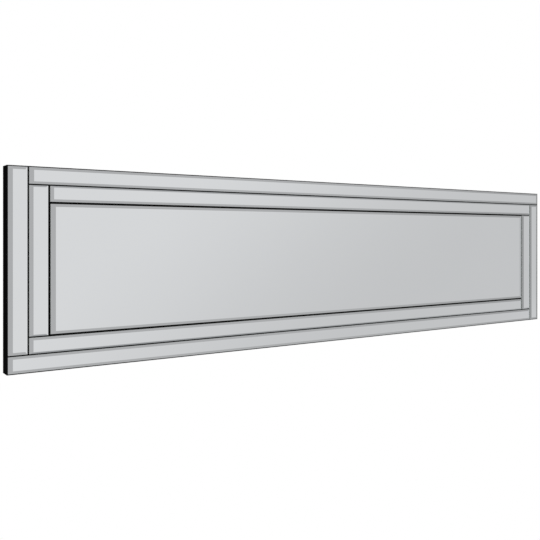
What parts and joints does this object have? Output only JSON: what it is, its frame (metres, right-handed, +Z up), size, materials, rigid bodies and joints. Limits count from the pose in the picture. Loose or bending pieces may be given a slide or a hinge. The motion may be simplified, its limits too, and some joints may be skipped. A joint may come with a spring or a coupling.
{
  "type": "wall mirror",
  "caption": "Long frameless wall mirror: bevelled mirror strips laid as pinwheel rings round a centre mirror, on a batten-backed board with black edges and swinging rings to hang it by.",
  "frame": {"origin": "middle of the panel's back, on the wall plane, on the back of the middle brace", "axes": "+X along the mirror, to the right as seen from the front; +Y from the mirrored face into the wall; +Z up, with the mirror hung level as pictured"},
  "size_m": [1.22, 0.026, 0.3],
  "materials": {
    "silvered_glass": "silvered float glass, polished, with polished bevels",
    "foam_tape": "double-sided foam tape",
    "mdf_board": "raw MDF, black lacquered on the side towards the glass",
    "pine_batten": "planed raw pine",
    "edge_band": "black ABS edge band, fine satin",
    "zinc_steel": "bright zinc plated steel",
    "black_screw": "black phosphated steel"
  },
  "bodies": {
    "panel": {"outer_left_strip": "silvered_glass", "outer_top_strip": "silvered_glass", "outer_right_strip": "silvered_glass", "outer_bottom_strip": "silvered_glass", "inner_left_strip": "silvered_glass", "inner_top_strip": "silvered_glass", "inner_right_strip": "silvered_glass", "inner_bottom_strip": "silvered_glass", "centre_mirror": "silvered_glass", "outer_strip_tapes": "foam_tape", "inner_strip_tapes": "foam_tape", "centre_mirror_tapes": "foam_tape", "backing_board": "mdf_board", "top_rail": "pine_batten", "bottom_rail": "pine_batten", "left_stile": "pine_batten", "right_stile": "pine_batten", "middle_brace": "pine_batten", "left_edge_band": "edge_band", "right_edge_band": "edge_band", "top_edge_band": "edge_band", "bottom_edge_band": "edge_band", "landscape_left_plate": "zinc_steel", "landscape_right_plate": "zinc_steel", "portrait_upper_plate": "zinc_steel", "portrait_lower_plate": "zinc_steel", "rail_screws": "black_screw", "hanger_screws": "zinc_steel"},
    "landscape_left_ring": {"landscape_left_ring": "zinc_steel"},
    "landscape_right_ring": {"landscape_right_ring": "zinc_steel"},
    "portrait_upper_ring": {"portrait_upper_ring": "zinc_steel"},
    "portrait_lower_ring": {"portrait_lower_ring": "zinc_steel"}
  },
  "joints": [
    {"name": "landscape_left_swing", "type": "hinge", "parent": "panel", "child": "landscape_left_ring", "pos_m": [-0.38, -0.0087, 0.0947], "axis": [1, 0, 0], "range_deg": [0, 180]},
    {"name": "landscape_right_swing", "type": "hinge", "parent": "panel", "child": "landscape_right_ring", "pos_m": [0.38, -0.0087, 0.0947], "axis": [1, 0, 0], "range_deg": [0, 180]},
    {"name": "portrait_upper_swing", "type": "hinge", "parent": "panel", "child": "portrait_upper_ring", "pos_m": [-0.5547, -0.0087, 0.075], "axis": [0, 0, 1], "range_deg": [0, 180]},
    {"name": "portrait_lower_swing", "type": "hinge", "parent": "panel", "child": "portrait_lower_ring", "pos_m": [-0.5547, -0.0087, -0.075], "axis": [0, 0, 1], "range_deg": [0, 180]}
  ]
}
